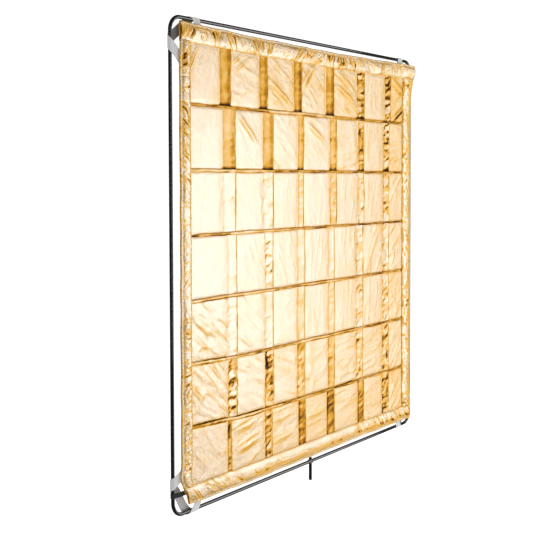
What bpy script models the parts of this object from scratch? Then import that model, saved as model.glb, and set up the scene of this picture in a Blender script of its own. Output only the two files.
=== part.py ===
"""Square reflector panel for film and photo lighting.

A bent round-bar frame carries a slip-on skin of woven gold ribbons. Four elastic corner straps
hook round the bars, and a short pin under the bottom bar fits a grip head or light stand.

Axes: +Z up, -Y towards the reflecting side, +X to the right of someone facing that side.
The origin is the middle of the pin's bottom end. All sizes are in metres.
"""

import math

import bmesh
import bpy

# ---- Frame -------------------------------------------------------------------------------
FRAME_SIZE = 1.219  # outside width and height, 48 in
BAR_D = 0.0095  # round bar, 3/8 in
BEND_R = 0.035  # centreline radius of a bent corner
PIN_D = 0.0095  # round pin, 3/8 in
PIN_BELOW = 0.050  # pin length under the bottom bar
PIN_ABOVE = 0.008  # rounded pin top standing over the bottom bar
PIN_EDGE_R = 0.0014  # rounding at the pin's bottom end
WELD_LENGTH = 0.0055  # how far a weld bead runs along the bar
WELD_PROUD = 0.0021  # how far a weld bead stands off the bar
GAP = 0.0003  # clearance between pieces that touch
ROUND_SIDES = 20
BEND_STEPS = 9

# ---- Skin --------------------------------------------------------------------------------
SKIN_SIDE_MARGIN = 0.026  # frame's outside to the skin's edge, left and right
SKIN_TOP_MARGIN = 0.019
SKIN_BOTTOM_MARGIN = 0.024
HEM_LEFT = 0.040  # hem widths, edge to seam
HEM_RIGHT = 0.052
HEM_TOP = 0.047
HEM_BOTTOM = 0.046
CLOTH_T = 0.0008
HEM_BACK_Y = -0.0077  # the hem's back face
COLUMN_LAYER_Y = -0.0102  # back face of the upright ribbons
ROW_LAYER_Y = -0.0089  # back face of the level ribbons
TAPE_LAYER_Y = -0.0114  # back face of the narrow tapes
HEM_FRONT_Y = -0.0126  # back face of the hem's front layer
END_TUCK = 0.006  # from a ribbon's end to the skin's edge, inside the hem

RIBBONS = 7
COLUMN_PITCH = 0.1645
COLUMN_WIDTH = 0.125
COLUMN_SHIFT = 0.0175  # the upright ribbons sit this far right of centre
ROW_PITCH = 0.161
ROW_WIDTH = 0.151
LOWEST_TAPE_Z = 0.253
TAPE_WIDTH = 0.008

# ---- Corner straps -----------------------------------------------------------------------
STRAP_WIDTH = 0.025
STRAP_T = 0.0010
STRAP_HEM_Y = -0.0069  # middle of the strap where it lies behind the hem
STRAP_TUCK = 0.016  # strap length sewn behind the hem
STRAP_EASE = (0.003, 0.012)  # the strap leaves the bar's front face between these distances
STRAP_STEPS = 9  # facets round a bar
STRAP_BACK_STEPS = 5
# For each corner: its side and level, then for the level bar and the upright bar, how far along
# the bar the strap crosses behind it, how much it leans along the bar there, and how far along
# it meets the skin's edge. Distances start where the bars' centrelines meet.
STRAPS = {
    "top_left": (-1, 1, (0.076, 1.2, 0.095), (0.058, 0.8, 0.092)),
    "bottom_left": (-1, -1, (0.058, 1.1, 0.085), (0.075, 0.6, 0.0975)),
    "top_right": (1, 1, (0.064, 1.0, 0.0825), (0.064, 0.9, 0.090)),
    "bottom_right": (1, -1, (0.066, 1.0, 0.090), (0.064, 0.9, 0.090)),
}

# ---- Keeper tab --------------------------------------------------------------------------
KEEPER_HEIGHT = 0.0515  # its lower edge above the frame's underside
KEEPER_WIDTH = 0.012
KEEPER_REACH = 0.050  # tail length from the bar's centre
KEEPER_T = 0.0010
KEEPER_HOOK = (95, 300)  # the part of the bar it covers, in degrees from the frame's inside

# ---- Worked out --------------------------------------------------------------------------
BAR_R = BAR_D / 2
PIN_R = PIN_D / 2
HALF = (FRAME_SIZE - BAR_D) / 2  # frame centre to a bar's centreline
BOTTOM_Z = PIN_BELOW + BAR_R  # height of the bottom bar's centreline
CENTRE_Z = BOTTOM_Z + HALF
TOP_Z = CENTRE_Z + HALF
SKIN_LEFT = -FRAME_SIZE / 2 + SKIN_SIDE_MARGIN
SKIN_RIGHT = FRAME_SIZE / 2 - SKIN_SIDE_MARGIN
SKIN_BOTTOM = BOTTOM_Z - BAR_R + SKIN_BOTTOM_MARGIN
SKIN_TOP = TOP_Z + BAR_R - SKIN_TOP_MARGIN
WRAP_R = BAR_R + GAP + STRAP_T / 2  # middle of a strap round a bar


def clear_scene():
    for old in list(bpy.data.objects):
        bpy.data.objects.remove(old, do_unlink=True)


def material(name, colour, roughness, metallic):
    """A plain finish: colour, roughness and metallic value on a Principled shader."""
    mat = bpy.data.materials.new(name)
    mat.use_nodes = True
    shader = mat.node_tree.nodes["Principled BSDF"]
    shader.inputs["Base Color"].default_value = (*colour, 1)
    shader.inputs["Roughness"].default_value = roughness
    shader.inputs["Metallic"].default_value = metallic
    return mat


def add_object(name, mesh, mat):
    obj = bpy.data.objects.new(name, mesh)
    bpy.context.scene.collection.objects.link(obj)
    obj.data.materials.append(mat)
    return obj


def loft(name, rings, mat, closed=False):
    """Join rings of points into one skin, capped at both ends unless it closes on itself."""
    bm = bmesh.new()
    rows = [[bm.verts.new(point) for point in ring] for ring in rings]
    sides = len(rows[0])
    pairs = list(zip(rows, rows[1:]))
    if closed:
        pairs.append((rows[-1], rows[0]))
    for near, far in pairs:
        for i in range(sides):
            j = (i + 1) % sides
            bm.faces.new((near[i], near[j], far[j], far[i]))
    if not closed:
        bm.faces.new(list(reversed(rows[0])))
        bm.faces.new(rows[-1])
    bmesh.ops.recalc_face_normals(bm, faces=bm.faces)
    mesh = bpy.data.meshes.new(name)
    bm.to_mesh(mesh)
    bm.free()
    mesh.shade_smooth()
    mesh.set_sharp_from_angle(angle=math.radians(35))
    return add_object(name, mesh, mat)


def circle(radius, sides=ROUND_SIDES):
    """Points round a circle, as pairs."""
    turns = [2 * math.pi * i / sides for i in range(sides)]
    return [(radius * math.cos(t), radius * math.sin(t)) for t in turns]


def straight_bar(name, start, end, across, mat):
    """A round bar from start to end; across maps a circle's pair to an offset."""
    rings = []
    for centre in (start, end):
        rings.append([tuple(c + o for c, o in zip(centre, across(u, v))) for u, v in circle(BAR_R)])
    return loft(name, rings, mat)


def bent_corner(name, side, level, mat):
    """A quarter bend of bar at one corner; side and level are -1 or 1 along X and Z."""
    middle_x = side * (HALF - BEND_R)
    middle_z = CENTRE_Z + level * (HALF - BEND_R)
    trim = GAP / 2 / BEND_R
    rings = []
    for step in range(BEND_STEPS + 1):
        turn = trim + (math.pi / 2 - 2 * trim) * step / BEND_STEPS
        ring = []
        for out, y in circle(BAR_R):
            reach = BEND_R + out
            x = middle_x + side * reach * math.cos(turn)
            z = middle_z + level * reach * math.sin(turn)
            ring.append((x, y, z))
        rings.append(ring)
    return loft(name, rings, mat)


def cutter(name, radius):
    """An upright round cutter on the pin's axis, at the bottom bar's height."""
    rings = [[(x, y, BOTTOM_Z + z) for x, y in circle(radius, 32)] for z in (-0.02, 0.02)]
    obj = loft(name, rings, bpy.data.materials["black_enamel"])
    obj.hide_render = True
    obj.display_type = "WIRE"
    return obj


def cut_away(obj, tool):
    cut = obj.modifiers.new("cope", "BOOLEAN")
    cut.operation = "DIFFERENCE"
    cut.solver = "EXACT"
    cut.object = tool


def build_frame(mat):
    """One bar bent at four corners, both ends coped round the pin."""
    reach = HALF - BEND_R - GAP / 2

    def round_z(u, v):
        return (u, v, 0)

    def round_x(u, v):
        return (0, u, v)

    straight_bar("bar_top", (-reach, 0, TOP_Z), (reach, 0, TOP_Z), round_x, mat)
    for side, word in ((-1, "left"), (1, "right")):
        x = side * HALF
        straight_bar("bar_" + word, (x, 0, CENTRE_Z - reach), (x, 0, CENTRE_Z + reach), round_z, mat)
        for level, end in ((-1, "bottom"), (1, "top")):
            bent_corner(f"bend_{end}_{word}", side, level, mat)
    coping = cutter("coping_cutter", PIN_R + GAP)
    for side, word in ((-1, "left"), (1, "right")):
        start = (side * PIN_R / 2, 0, BOTTOM_Z)
        bar = straight_bar("bar_bottom_" + word, start, (side * reach, 0, BOTTOM_Z), round_x, mat)
        cut_away(bar, coping)
        cut_away(weld_bead("weld_" + word, side, mat), coping)


def weld_bead(name, side, mat):
    """A bead round the bar where it meets the pin, before its saddle is cut."""
    inner = BAR_R + GAP
    start = PIN_R * 0.62
    end = PIN_R + WELD_LENGTH
    outline = [
        (start, inner),
        (start, inner + WELD_PROUD * 0.8),
        (start + WELD_LENGTH * 0.4, inner + WELD_PROUD),
        (start + WELD_LENGTH * 0.75, inner + WELD_PROUD * 0.8),
        (end, inner + WELD_PROUD * 0.2),
        (end, inner),
    ]
    rings = []
    for u, v in circle(1.0, 24):
        rings.append([(side * x, u * r, BOTTOM_Z + v * r) for x, r in outline])
    return loft(name, rings, mat, closed=True)


def build_pin(mat):
    """The mounting pin: a flat bottom end with a rounded edge, and a domed top."""
    top = BOTTOM_Z + BAR_R + PIN_ABOVE
    outline = []
    for step in range(4):
        turn = math.pi / 2 * step / 3
        r = PIN_R - PIN_EDGE_R * (1 - math.sin(turn))
        outline.append((r, PIN_EDGE_R * (1 - math.cos(turn))))
    for step in range(6):
        turn = math.pi / 2 * step / 6
        outline.append((PIN_R * math.cos(turn), top - PIN_R * (1 - math.sin(turn))))
    rings = [[(x, y, z) for x, y in circle(r)] for r, z in outline]
    return loft("mounting_pin", rings, mat)


def plate(name, low, high, mat):
    """A flat piece of cloth as a thin closed solid."""
    (x0, y0, z0), (x1, y1, z1) = low, high
    base = [(x0, z0), (x1, z0), (x1, z1), (x0, z1)]
    rings = [[(x, y, z) for x, z in base] for y in (y0, y1)]
    return loft(name, rings, mat)


def build_ribbons(gold, trim):
    """Upright ribbons in front, level ribbons behind, and a narrow tape over each row line."""
    middle = (RIBBONS - 1) / 2
    for i in range(RIBBONS):
        x = COLUMN_SHIFT + (i - middle) * COLUMN_PITCH
        low = (x - COLUMN_WIDTH / 2, COLUMN_LAYER_Y - CLOTH_T, SKIN_BOTTOM + END_TUCK)
        high = (x + COLUMN_WIDTH / 2, COLUMN_LAYER_Y, SKIN_TOP - END_TUCK)
        plate(f"upright_ribbon_{i + 1}", low, high, gold)
    for i in range(RIBBONS):
        z = LOWEST_TAPE_Z + (i - 0.5) * ROW_PITCH
        low = (SKIN_LEFT + END_TUCK, ROW_LAYER_Y - CLOTH_T, z - ROW_WIDTH / 2)
        high = (SKIN_RIGHT - END_TUCK, ROW_LAYER_Y, z + ROW_WIDTH / 2)
        plate(f"level_ribbon_{i + 1}", low, high, gold)
    for i in range(RIBBONS - 1):
        z = LOWEST_TAPE_Z + i * ROW_PITCH
        low = (SKIN_LEFT + END_TUCK, TAPE_LAYER_Y - CLOTH_T, z - TAPE_WIDTH / 2)
        high = (SKIN_RIGHT - END_TUCK, TAPE_LAYER_Y, z + TAPE_WIDTH / 2)
        plate(f"row_tape_{i + 1}", low, high, trim)


def hem_outline(edge, width, inward):
    """A folded hem in section: back layer, fold and front layer, as (place, y) pairs."""
    fold = edge + inward * CLOTH_T
    seam = edge + inward * width
    front = HEM_FRONT_Y - CLOTH_T
    back_inner = HEM_BACK_Y - CLOTH_T
    return [
        (edge, HEM_BACK_Y),
        (seam, HEM_BACK_Y),
        (seam, back_inner),
        (fold, back_inner),
        (fold, HEM_FRONT_Y),
        (seam, HEM_FRONT_Y),
        (seam, front),
        (edge, front),
    ]


def build_hems(mat):
    """Top and bottom hems run the full width, and the side hems stand between them."""
    for name, edge, width, inward in (
        ("hem_top", SKIN_TOP, HEM_TOP, -1),
        ("hem_bottom", SKIN_BOTTOM, HEM_BOTTOM, 1),
    ):
        outline = hem_outline(edge, width, inward)
        loft(name, [[(x, y, z) for z, y in outline] for x in (SKIN_LEFT, SKIN_RIGHT)], mat)
    low = SKIN_BOTTOM + HEM_BOTTOM + GAP
    high = SKIN_TOP - HEM_TOP - GAP
    for name, edge, width, inward in (
        ("hem_left", SKIN_LEFT, HEM_LEFT, 1),
        ("hem_right", SKIN_RIGHT, HEM_RIGHT, -1),
    ):
        outline = hem_outline(edge, width, inward)
        loft(name, [[(x, y, z) for x, y in outline] for z in (low, high)], mat)


def ease(t):
    t = min(max(t, 0.0), 1.0)
    return t * t * (3 - 2 * t)


def wrap(distance, proud):
    """A strap's section round a bar: how far in from the bar's centre, and its Y.

    distance runs from the bar's back, round its outside, and on to the front.
    proud is how far the point is outside the strap's middle surface.
    """
    if distance < 0:
        return -distance, WRAP_R + proud
    turn = distance / WRAP_R
    radius = WRAP_R + proud
    if turn < math.pi:
        return -radius * math.sin(turn), radius * math.cos(turn)
    inward = distance - math.pi * WRAP_R
    start, end = STRAP_EASE
    forward = ease((inward - start) / (end - start)) * (-STRAP_HEM_Y - WRAP_R)
    return inward, -radius - forward


def strap_leg(place, inset):
    """A strap's run from behind one bar, round it and on to the hem.

    Each section is (distance from the bar's back, near edge, far edge), the edges measured along
    the bar from the corner.
    """
    cross, slope, edge = place
    half_turn = math.pi * WRAP_R
    run = half_turn + inset
    curve = (edge - cross - slope * run) / (run * run)
    ease_start, ease_end = STRAP_EASE
    distances = [half_turn * i / STRAP_STEPS for i in range(STRAP_STEPS + 1)]
    distances += [half_turn + ease_start + (ease_end - ease_start) * i / 3 for i in range(4)]
    distances += [run, run + STRAP_TUCK]
    sections = []
    for distance in distances:
        centre = cross + slope * distance + curve * distance * distance
        lean = slope + 2 * curve * distance
        half = STRAP_WIDTH / 2 * math.hypot(1, lean)
        sections.append((distance, centre - half, centre + half))
    return sections


def strap_back(on_level, on_upright):
    """Cross sections of the strap's free stretch behind the corner, as pairs of edge points."""
    start = (0.0, on_upright[0])
    end = (on_level[0], 0.0)
    chord = math.hypot(end[0], start[1])
    leave = unit(1, -on_upright[1])
    arrive = unit(on_level[1], -1)
    pairs = []
    for step in range(1, STRAP_BACK_STEPS):
        t = step / STRAP_BACK_STEPS
        point, heading = hermite(start, end, leave, arrive, chord, t)
        half = STRAP_WIDTH / 2
        across = (-heading[1] * half, heading[0] * half)
        near = (point[0] - across[0], point[1] - across[1])
        far = (point[0] + across[0], point[1] + across[1])
        pairs.append((near, far))
    return pairs


def unit(a, b):
    size = math.hypot(a, b)
    return a / size, b / size


def hermite(start, end, leave, arrive, chord, t):
    """A point and heading on the smooth curve between two ends with given headings."""
    weights = (
        2 * t**3 - 3 * t**2 + 1,
        3 * t**2 - 2 * t**3,
        (t**3 - 2 * t**2 + t) * chord,
        (t**3 - t**2) * chord,
    )
    rates = (
        6 * t**2 - 6 * t,
        6 * t - 6 * t**2,
        (3 * t**2 - 4 * t + 1) * chord,
        (3 * t**2 - 2 * t) * chord,
    )
    terms = list(zip(start, end, leave, arrive))
    point = tuple(sum(w * value for w, value in zip(weights, axis)) for axis in terms)
    rate = [sum(w * value for w, value in zip(rates, axis)) for axis in terms]
    return point, unit(*rate)


def strap_sections(level, on_level, on_upright):
    """The strap laid flat behind the corner, as pairs of edge points from hem to hem."""
    inset = SKIN_TOP_MARGIN if level > 0 else SKIN_BOTTOM_MARGIN
    upright_leg = strap_leg(on_upright, SKIN_SIDE_MARGIN - BAR_R)
    level_leg = strap_leg(on_level, inset - BAR_R)
    flat = [((-d, near), (-d, far)) for d, near, far in reversed(upright_leg)]
    flat += strap_back(on_level, on_upright)
    flat += [((near, -d), (far, -d)) for d, near, far in level_leg]
    return flat


def fold_strap(side, level, point, proud):
    """Fold a point of the flat strap round whichever bar it has passed."""
    a, b = point
    y = WRAP_R + proud
    if a < 0:
        a, y = wrap(-a, proud)
    elif b < 0:
        b, y = wrap(-b, proud)
    return (side * (HALF - a), y, CENTRE_Z + level * (HALF - b))


def build_strap(corner, mat):
    side, level, *places = STRAPS[corner]
    rings = []
    for near, far in strap_sections(level, *places):
        outer = [fold_strap(side, level, p, STRAP_T / 2) for p in (near, far)]
        inner = [fold_strap(side, level, p, -STRAP_T / 2) for p in (far, near)]
        rings.append(outer + inner)
    return loft("corner_strap_" + corner, rings, mat)


def build_keeper(mat):
    """A narrow webbing tab hooked over the left bar, its tail lying behind the hem."""
    inner = BAR_R + GAP
    outer = inner + KEEPER_T
    tail_back = STRAP_HEM_Y + KEEPER_T
    tail_front = STRAP_HEM_Y - STRAP_T / 2
    first, last = KEEPER_HOOK
    turns = [math.radians(first + (last - first) * i / 12) for i in range(13)]
    outline = [(outer * math.cos(t), outer * math.sin(t)) for t in turns]
    outline += [(KEEPER_REACH * 0.35, tail_front), (KEEPER_REACH, tail_front)]
    outline += [(KEEPER_REACH, tail_back), (KEEPER_REACH * 0.3, tail_back)]
    outline += [(inner * math.cos(t), inner * math.sin(t)) for t in reversed(turns)]
    low = BOTTOM_Z - BAR_R + KEEPER_HEIGHT
    rings = [[(-HALF + x, y, z) for x, y in outline] for z in (low, low + KEEPER_WIDTH)]
    return loft("keeper_tab", rings, mat)


def build():
    clear_scene()
    enamel = material("black_enamel", (0.012, 0.012, 0.013), 0.22, 0.0)
    gold = material("gold_lame", (0.90, 0.62, 0.22), 0.34, 0.75)
    tape = material("gold_tape", (0.93, 0.70, 0.32), 0.30, 0.75)
    elastic = material("grey_elastic", (0.60, 0.60, 0.61), 0.85, 0.0)
    webbing = material("black_webbing", (0.015, 0.015, 0.016), 0.80, 0.0)
    build_frame(enamel)
    build_pin(enamel)
    build_ribbons(gold, tape)
    build_hems(gold)
    for corner in STRAPS:
        build_strap(corner, elastic)
    build_keeper(webbing)


build()
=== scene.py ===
"""Visual model of the gold reflector panel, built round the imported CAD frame.

Everything is in metres in the CAD's frame: +Z up, -Y towards the reflecting side, +X to the right
of someone facing that side. "Forward" below means towards -Y.
"""

import math

import bpy
import numpy as np
from mathutils import Matrix, Vector


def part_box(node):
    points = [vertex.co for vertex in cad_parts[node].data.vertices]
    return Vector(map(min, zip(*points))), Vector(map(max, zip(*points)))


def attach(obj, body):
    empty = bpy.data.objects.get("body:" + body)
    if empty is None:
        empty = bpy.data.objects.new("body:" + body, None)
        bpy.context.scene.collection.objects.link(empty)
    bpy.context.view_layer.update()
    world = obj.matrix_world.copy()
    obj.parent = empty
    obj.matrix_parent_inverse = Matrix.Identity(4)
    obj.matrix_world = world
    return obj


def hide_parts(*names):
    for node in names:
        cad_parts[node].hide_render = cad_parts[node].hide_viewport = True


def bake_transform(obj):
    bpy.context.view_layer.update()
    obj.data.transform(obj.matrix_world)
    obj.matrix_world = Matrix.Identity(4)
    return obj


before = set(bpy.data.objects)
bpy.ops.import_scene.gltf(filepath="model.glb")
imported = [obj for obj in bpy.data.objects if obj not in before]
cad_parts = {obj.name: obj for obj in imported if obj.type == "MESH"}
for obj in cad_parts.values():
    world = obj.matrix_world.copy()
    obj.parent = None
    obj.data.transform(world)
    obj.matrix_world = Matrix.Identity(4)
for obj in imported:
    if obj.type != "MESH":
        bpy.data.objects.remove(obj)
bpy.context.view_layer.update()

# ---- Sizes read from the frame ----
LEFT, HEM_FRONT, SEAM_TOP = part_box("hem_top")[0]
RIGHT, HEM_BACK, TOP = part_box("hem_top")[1]
BOTTOM, SEAM_BOTTOM = (corner.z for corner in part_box("hem_bottom"))
SEAM_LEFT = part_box("hem_left")[1].x
SEAM_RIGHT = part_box("hem_right")[0].x
ROWS = 7
COLUMNS = 7
ROW_LINES = [sum(corner.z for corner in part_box(f"row_tape_{i}")) / 2 for i in range(1, ROWS)]
ROW_PITCH = ROW_LINES[1] - ROW_LINES[0]
LEVEL_WIDTH = ROW_PITCH - 0.0001  # neighbours all but meet, under the row tapes
UPRIGHT_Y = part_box("upright_ribbon_1")[0].y
LEVEL_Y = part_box("level_ribbon_1")[0].y
TAPE_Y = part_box("row_tape_1")[0].y

BAR_R = (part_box("bar_top")[1].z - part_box("bar_top")[0].z) / 2
BEND_R = 0.035  # centreline radius of a bent corner
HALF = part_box("bar_right")[1].x - BAR_R
TOP_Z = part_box("bar_top")[1].z - BAR_R
BOTTOM_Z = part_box("bar_bottom_left")[0].z + BAR_R
CENTRE_Z = (TOP_Z + BOTTOM_Z) / 2
PIN_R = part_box("mounting_pin")[1].x
PIN_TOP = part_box("mounting_pin")[1].z

# ---- Cloth ----
MM = 0.001
CLOTH_T = 0.0005
RIBBON_T = 0.0003  # the upright ribbons, whose edges show
CLOTH_INSET = 0.0004  # the cloth's rest surface behind the CAD ribbon's front
FINE = 0.0032  # grid spacing of the front cloth
COARSE = 0.0042  # grid spacing of the cloth behind
PILLOW = 0.0009  # how far a patch stands forward of its row lines
EDGE_CURL = 0.0001
EDGE_TONE = 0.46  # cut and folded edges show no gloss
HEM_STEP = 0.0028  # grid spacing across a hem
HEM_RUN_STEP = 0.0020  # and along it

# Left and right edges of the gaps between upright ribbons, for the top row, the next two,
# the next three and the bottom row.
GAP_GROUPS = (1, 3, 6, 7)  # last row of each group, counted from the top
GAPS = (
    ((-0.429, -0.383), (-0.418, -0.364), (-0.400, -0.360), (-0.401, -0.384)),
    ((-0.260, -0.223), (-0.245, -0.196), (-0.238, -0.197), (-0.239, -0.204)),
    ((-0.097, -0.058), (-0.078, -0.048), (-0.084, -0.043), (-0.077, -0.039)),
    ((0.069, 0.113), (0.088, 0.128), (0.079, 0.116), (0.073, 0.116)),
    ((0.245, 0.291), (0.251, 0.288), (0.240, 0.281), (0.249, 0.288)),
    ((0.417, 0.456), (0.408, 0.447), (0.403, 0.445), (0.401, 0.447)),
)

# Painted light and shade of each patch, top row first, for how brightly it catches the light: 1 is cream,
# 0.5 is orange, 0 is dark brown.
PATCH_LIGHT_AND_SHADE = (
    (0.85, 0.83, 0.79, 0.77, 0.79, 0.81, 0.69),
    (0.93, 0.92, 0.87, 0.87, 0.82, 0.82, 0.74),
    (0.96, 0.95, 0.92, 0.92, 0.86, 0.84, 0.80),
    (1.00, 0.95, 0.92, 0.92, 0.86, 0.84, 0.82),
    (0.94, 0.93, 0.89, 0.87, 0.84, 0.82, 0.78),
    (0.87, 0.87, 0.83, 0.81, 0.81, 0.79, 0.78),
    (0.85, 0.82, 0.78, 0.74, 0.75, 0.76, 0.76),
)
# Lean of each patch's wrinkles in degrees (positive rises to the right), and their height in mm.
PATCH_WRINKLES = (
    ((80, 0.15), (-25, 0.6), (-35, 0.8), (-40, 0.7), (-30, 0.7), (85, 0.3), (40, 0.5)),
    ((85, 0.3), (-55, 0.4), (-40, 0.5), (-50, 0.5), (5, 0.6), (85, 0.3), (5, 0.5)),
    ((80, 0.4), (-75, 0.4), (80, 0.4), (85, 0.3), (75, 0.4), (80, 0.4), (50, 0.6)),
    ((5, 0.3), (-65, 0.5), (-65, 0.5), (80, 0.3), (85, 0.4), (55, 0.8), (40, 0.7)),
    ((-40, 1.1), (-40, 0.7), (10, 0.3), (85, 0.3), (85, 0.4), (85, 0.4), (40, 0.8)),
    ((-45, 1.0), (-35, 0.8), (-20, 0.5), (10, 0.5), (5, 0.6), (10, 0.5), (50, 0.6)),
    ((-50, 0.5), (12, 0.5), (6, 0.5), (3, 0.5), (6, 0.5), (10, 0.5), (40, 0.6)),
)
# Painted light and shade of the level ribbons in the gaps, and their wrinkle height (mm), by row and gap.
STRIP_LIGHT_AND_SHADE = (
    (0.43, 0.43, 0.39, 0.42, 0.62, 0.76),
    (0.54, 0.50, 0.52, 0.50, 0.56, 0.74),
    (0.94, 0.90, 0.72, 0.64, 0.86, 0.74),
    (0.96, 0.94, 0.80, 0.82, 0.90, 0.90),
    (0.96, 0.94, 0.68, 0.72, 0.84, 0.82),
    (0.64, 0.52, 0.52, 0.54, 0.66, 0.72),
    (0.40, 0.46, 0.34, 0.31, 0.35, 0.56),
)
STRIP_WRINKLES = (
    (0.25, 0.25, 0.30, 0.35, 1.5, 1.7),
    (0.30, 0.25, 0.35, 0.50, 0.9, 1.5),
    (0.50, 0.80, 0.50, 0.60, 1.0, 1.2),
    (0.60, 1.10, 0.40, 0.60, 1.1, 1.2),
    (0.70, 0.80, 0.40, 0.50, 1.0, 1.1),
    (1.20, 1.00, 0.80, 0.60, 1.0, 1.1),
    (1.00, 1.10, 0.70, 0.60, 0.75, 1.1),
)
# How much shade is painted in the crease above each row line, and how much of its tape shows, by line from
# the top and by column.
LINE_SHADE = (
    (0.8, 0.8, 1.1, 1.1, 0.9, 0.8, 0.5),
    (1.0, 1.1, 0.8, 0.9, 0.8, 0.8, 0.7),
    (0.8, 0.9, 0.7, 1.0, 0.6, 0.6, 0.5),
    (1.5, 0.9, 0.7, 1.3, 0.9, 0.8, 0.7),
    (1.9, 1.2, 0.9, 0.8, 1.3, 0.9, 0.8),
    (2.2, 2.2, 1.3, 0.9, 1.4, 0.9, 0.8),
)
TAPE_SHOWN = (
    (0.3, 0.4, 1.0, 1.0, 0.3, 0.2, 0.2),
    (0.9, 1.0, 0.4, 0.4, 0.4, 0.3, 0.3),
    (0.3, 1.0, 0.4, 0.5, 0.2, 0.2, 0.2),
    (0.9, 1.0, 0.3, 0.9, 0.4, 0.3, 0.3),
    (1.0, 0.4, 0.4, 1.0, 0.5, 0.3, 0.3),
    (0.4, 1.0, 0.5, 0.4, 0.4, 0.3, 0.3),
)
# Single strong folds: row, column, start and end in the patch (0 to 1 across and down), width
# and height in mm.
FOLDS = (
    (2, 2, (0.02, 0.05), (0.85, 0.62), 9, 3.0),
    (2, 4, (0.02, 0.15), (0.90, 0.50), 9, 2.6),
    (2, 4, (0.10, 0.02), (0.80, 0.22), 6, 1.2),
    (1, 1, (0.04, 0.40), (0.30, 0.05), 5, 1.8),
    (1, 2, (0.05, 0.20), (0.35, 0.06), 5, 1.6),
    (1, 2, (0.15, 0.32), (0.60, 0.10), 5, 1.4),
    (1, 4, (0.02, 0.45), (0.45, 0.03), 12, 2.8),
    (1, 3, (0.05, 0.40), (0.95, 0.80), 10, 2.4),
    (1, 5, (0.02, 0.30), (0.90, 0.62), 9, 2.4),
    (1, 5, (0.05, 0.05), (0.80, 0.36), 8, 2.0),
    (1, 7, (0.10, 0.88), (0.95, 0.45), 9, 4.0),
    (1, 7, (0.00, 0.05), (0.95, 0.45), 14, 3.0),
    (4, 6, (0.15, 0.95), (0.75, 0.10), 9, 1.8),
    (5, 1, (0.05, 0.30), (0.95, 0.70), 9, 1.8),
    (5, 1, (0.05, 0.55), (0.60, 0.90), 8, 1.6),
    (5, 2, (0.05, 0.65), (0.60, 0.95), 8, 1.8),
    (6, 1, (0.02, 0.35), (0.35, 0.65), 8, 1.8),
    (7, 2, (0.00, 0.58), (0.98, 0.42), 12, 3.0),
    (7, 2, (0.00, 0.22), (0.75, 0.15), 11, 2.6),
    (7, 2, (0.15, 0.95), (0.95, 0.60), 7, 1.6),
    (7, 1, (0.05, 0.35), (0.45, 0.62), 8, 1.6),
    (7, 1, (0.10, 0.92), (0.90, 0.80), 9, 1.4),
    (7, 3, (0.02, 0.60), (0.95, 0.55), 9, 1.8),
    (7, 3, (0.02, 0.25), (0.80, 0.22), 9, 1.4),
    (7, 4, (0.02, 0.40), (0.90, 0.36), 9, 1.6),
)


# ---- Small tools ----
def step(low, high, value):
    """0 below low, 1 above high, and smooth between."""
    t = np.clip((value - low) / (high - low), 0.0, 1.0)
    return t * t * (3 - 2 * t)


def bell(value, width):
    """1 at zero, falling off smoothly on both sides."""
    return np.exp(-((value / width) ** 2))


def noise(u, v, seed):
    """Smooth noise from -1 to 1 with one bump about every unit."""
    size = 128
    table = np.random.default_rng(seed).uniform(-1, 1, (size, size))
    iu = np.floor(u).astype(int)
    iv = np.floor(v).astype(int)
    fu, fv = (f * f * f * (f * (f * 6 - 15) + 10) for f in (u - iu, v - iv))
    a, b, c, d = (table[(iu + i) % size, (iv + j) % size] for j in (0, 1) for i in (0, 1))
    return (a * (1 - fu) + b * fu) * (1 - fv) + (c * (1 - fu) + d * fu) * fv


def streaks(x, z, lean, across, along, seed):
    """Noise drawn out along a direction that leans by so many degrees from +X."""
    turn = np.radians(lean)
    wander = 0.35 * across * noise(x / (2 * along), z / (2 * along), seed + 50)
    u = x * np.cos(turn) + z * np.sin(turn)
    v = -x * np.sin(turn) + z * np.cos(turn) + wander
    return noise(u / along, v / across, seed)


def crest(value):
    """Sharp ridges: 1 along the zero lines of a noise, falling to -1 away from them."""
    return 1 - 2 * np.minimum(np.abs(value) * 2.2, 1) ** 0.8


def crease_line(value, spacing, width):
    """Lines of even width along the zero lines of a noise on a hem's grid."""
    slopes = np.gradient(value, spacing, HEM_STEP)
    return np.exp(-np.abs(value) / (width * np.maximum(np.hypot(*slopes), 40)))


def fold(x, z, start, end, width):
    """A sharp crest from start to end, fading at both ends, and the two shadows beside it."""
    run = np.subtract(end, start)
    length = math.hypot(*run)
    along = ((x - start[0]) * run[0] + (z - start[1]) * run[1]) / length
    side = (-(x - start[0]) * run[1] + (z - start[1]) * run[0]) / length
    side = side + 0.25 * width * noise(along / 0.02, side * 0, 7)
    fade = step(-0.01, length * 0.3, along) * step(length + 0.015, length * 0.6, along)
    ridge = np.exp(-np.abs(side) / width) * bell(side, 2.2 * width)
    flank = bell(np.abs(side) - 0.9 * width, 0.45 * width)
    return fade * ridge, fade * flank


def shade(height, dx, dz, flat=0.10):
    """Painted light and shade on a height field: steep cloth is painted darker, most where it faces down
    and right, and a little lighter where it faces the other way.
    """
    slope_z, slope_x = np.gradient(height, dz, dx)
    facing = 0.6 * slope_x - 0.8 * slope_z
    steep = np.clip(np.hypot(slope_x, slope_z) - flat, 0, 0.5)
    return 0.5 * np.clip(facing, 0, 0.3) - 0.9 * steep - 0.9 * np.clip(-facing - 0.05, 0, 0.4)


def crisp(grid):
    """Add a column close to each side edge, so that the edge's rounding stays narrow."""
    first = grid[:, :1] * 0.92 + grid[:, 1:2] * 0.08
    last = grid[:, -1:] * 0.92 + grid[:, -2:-1] * 0.08
    return np.concatenate([grid[:, :1], first, grid[:, 1:-1], last, grid[:, -1:]], axis=1)


def add_object(name, data):
    obj = bpy.data.objects.new(name, data)
    bpy.context.scene.collection.objects.link(obj)
    return obj


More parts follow.
